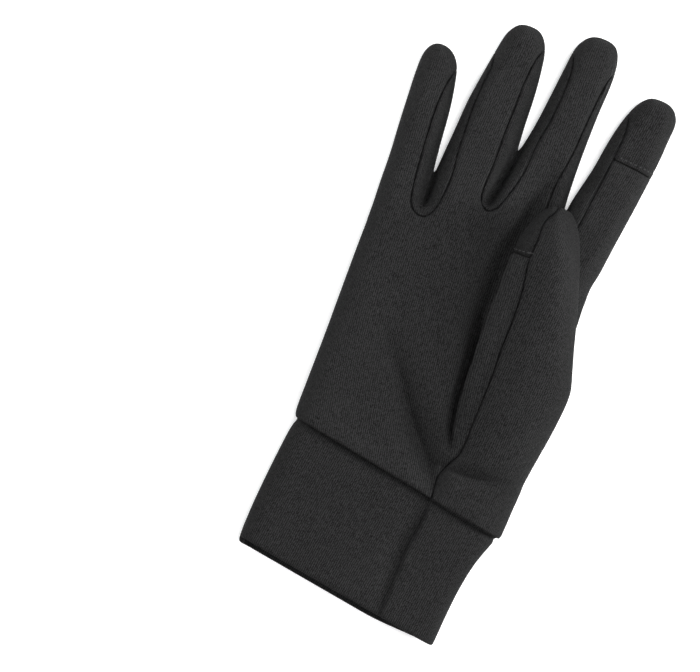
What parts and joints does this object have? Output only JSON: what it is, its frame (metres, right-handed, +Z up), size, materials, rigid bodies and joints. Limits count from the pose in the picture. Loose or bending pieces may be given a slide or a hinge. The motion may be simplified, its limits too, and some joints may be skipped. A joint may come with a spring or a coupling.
{
  "type": "wool glove",
  "caption": "Fine-knit full-finger right glove lying palm up, with fourchettes, touch-tip patches, a folded-over thumb and a doubled cuff, open at the wrist.",
  "frame": {"origin": "on the resting plane, under the middle of the lower back panel", "axes": "+Y from the wrist to the fingertips, +X towards the thumb side, +Z up out of the palm"},
  "size_m": [0.1051, 0.2508, 0.023],
  "materials": {
    "jersey": "charcoal fine wool jersey, matt",
    "touch_jersey": "charcoal conductive fine jersey, matt",
    "cuff_jersey": "doubled charcoal fine wool jersey, matt"
  },
  "bodies": {
    "root": {"palm_panel": "jersey", "thumb_panel": "jersey", "thumb_touch_patch": "touch_jersey", "index_touch_patch": "touch_jersey", "hand_back_panel": "jersey", "wrist_back_panel": "jersey", "fourchette_little_ring": "jersey", "fourchette_ring_middle": "jersey", "fourchette_middle_index": "jersey", "cuff": "cuff_jersey"}
  },
  "joints": []
}
